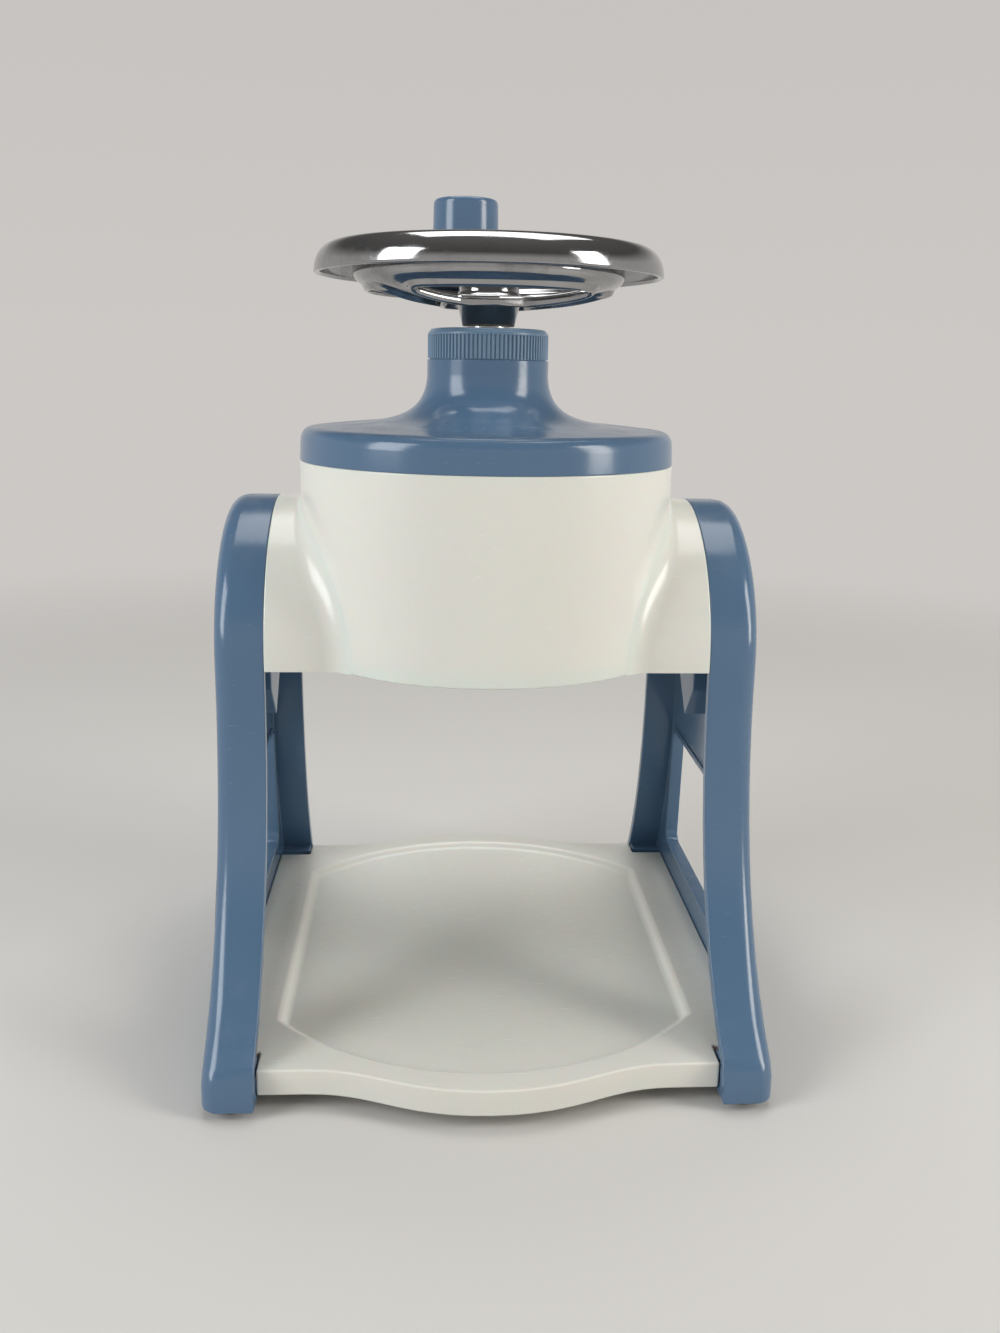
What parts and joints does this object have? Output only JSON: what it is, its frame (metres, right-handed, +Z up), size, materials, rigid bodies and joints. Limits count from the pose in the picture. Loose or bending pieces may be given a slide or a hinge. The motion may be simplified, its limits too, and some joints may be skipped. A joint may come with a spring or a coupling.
{
  "type": "hand-cranked ice shaver",
  "caption": "Table-top ice shaver: a dished handwheel with a turning knob drives a sprung spiked disc over a fixed blade in a white hopper held between two blue side frames on a base plate.",
  "frame": {"origin": "on the table, on the spindle's axis, in the middle of the four feet", "axes": "+Z up along the spindle, front towards -Y, +X to the right as seen from the front"},
  "size_m": [0.1738, 0.1958, 0.2775],
  "materials": {
    "white_plastic": "glossy moulded",
    "blue_plastic": "glossy moulded",
    "collar_plastic": "satin moulded",
    "chrome": "polished, a little worn",
    "steel": "zinc plated",
    "blade_steel": "ground stainless",
    "nylon": "natural nylon",
    "rubber": "matt"
  },
  "bodies": {
    "stand": {"base_plate": "white_plastic", "left_frame": "blue_plastic", "right_frame": "blue_plastic", "feet": "rubber", "plate_screws": "steel", "frame_screws": "steel", "hopper": "white_plastic", "hopper_floor": "white_plastic", "hopper_arms": "white_plastic", "blade": "blade_steel", "blade_clamp": "steel", "blade_screws": "steel"},
    "lid": {"lid": "blue_plastic", "collar": "collar_plastic", "bush": "nylon"},
    "crank": {"handwheel": "chrome", "drive_sleeve": "steel", "wheel_washer": "steel", "wheel_nut": "chrome", "knob_pin": "steel", "knob_nut": "steel", "thrust_washer": "nylon", "retaining_clip": "steel", "spring_seat": "steel", "spring": "steel"},
    "knob": {"knob": "blue_plastic"},
    "ice_disc": {"ice_disc": "white_plastic", "spikes": "blade_steel", "feed_shaft": "steel", "shaft_ring": "steel", "shaft_screw": "steel"}
  },
  "joints": [
    {"name": "lid_lift", "type": "slide", "parent": "stand", "child": "lid", "axis": [0, 0, 1], "range_m": [0, 0.08]},
    {"name": "crank_spin", "type": "hinge", "parent": "lid", "child": "crank", "pos_m": [0, 0, 0.22], "axis": [0, 0, 1], "continuous": true},
    {"name": "knob_spin", "type": "hinge", "parent": "crank", "child": "knob", "pos_m": [-0.00642, 0.04878, 0.268], "axis": [0, 0, 1], "continuous": true},
    {"name": "disc_slide", "type": "slide", "parent": "crank", "child": "ice_disc", "axis": [0, 0, 1], "range_m": [0, 0.04], "stiffness_N_per_m": 120, "springref_m": -0.05, "deforming": ["spring"]}
  ]
}
